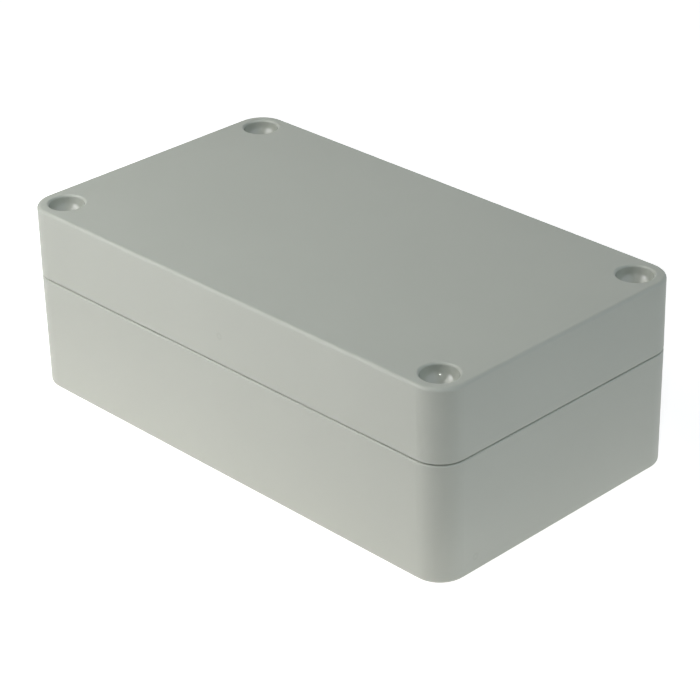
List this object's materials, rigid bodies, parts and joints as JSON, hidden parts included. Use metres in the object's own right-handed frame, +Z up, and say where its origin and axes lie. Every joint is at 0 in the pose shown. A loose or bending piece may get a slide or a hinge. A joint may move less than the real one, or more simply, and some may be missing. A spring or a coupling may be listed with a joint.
{
  "type": "project enclosure",
  "caption": "Sealed two-part plastic box with a deep base, a lid held by screws in corner wells and a gasketed joint, for housing electronics.",
  "frame": {"origin": "middle of the underside that the box rests on", "axes": "+X along the box, +Y across it towards the back long face, +Z up through the lid"},
  "size_m": [0.115, 0.065, 0.04],
  "materials": {
    "case_plastic": "fine moulded texture",
    "seal_rubber": "matt",
    "screw_steel": "plain stainless",
    "insert_brass": "turned"
  },
  "bodies": {
    "base": {"base": "case_plastic", "insert_front_left": "insert_brass", "insert_front_right": "insert_brass", "insert_back_right": "insert_brass", "insert_back_left": "insert_brass"},
    "lid": {"lid": "case_plastic", "gasket": "seal_rubber"},
    "screw_front_left": {"screw_front_left": "screw_steel"},
    "screw_front_right": {"screw_front_right": "screw_steel"},
    "screw_back_right": {"screw_back_right": "screw_steel"},
    "screw_back_left": {"screw_back_left": "screw_steel"}
  },
  "joints": [
    {"name": "lid_lift", "type": "slide", "parent": "base", "child": "lid", "axis": [0, 0, 1], "range_m": [0, 0.04]},
    {"name": "unscrew_front_left", "type": "slide", "parent": "lid", "child": "screw_front_left", "axis": [0, 0, 1], "range_m": [0, 0.026]},
    {"name": "unscrew_front_right", "type": "slide", "parent": "lid", "child": "screw_front_right", "axis": [0, 0, 1], "range_m": [0, 0.026]},
    {"name": "unscrew_back_right", "type": "slide", "parent": "lid", "child": "screw_back_right", "axis": [0, 0, 1], "range_m": [0, 0.026]},
    {"name": "unscrew_back_left", "type": "slide", "parent": "lid", "child": "screw_back_left", "axis": [0, 0, 1], "range_m": [0, 0.026]}
  ]
}
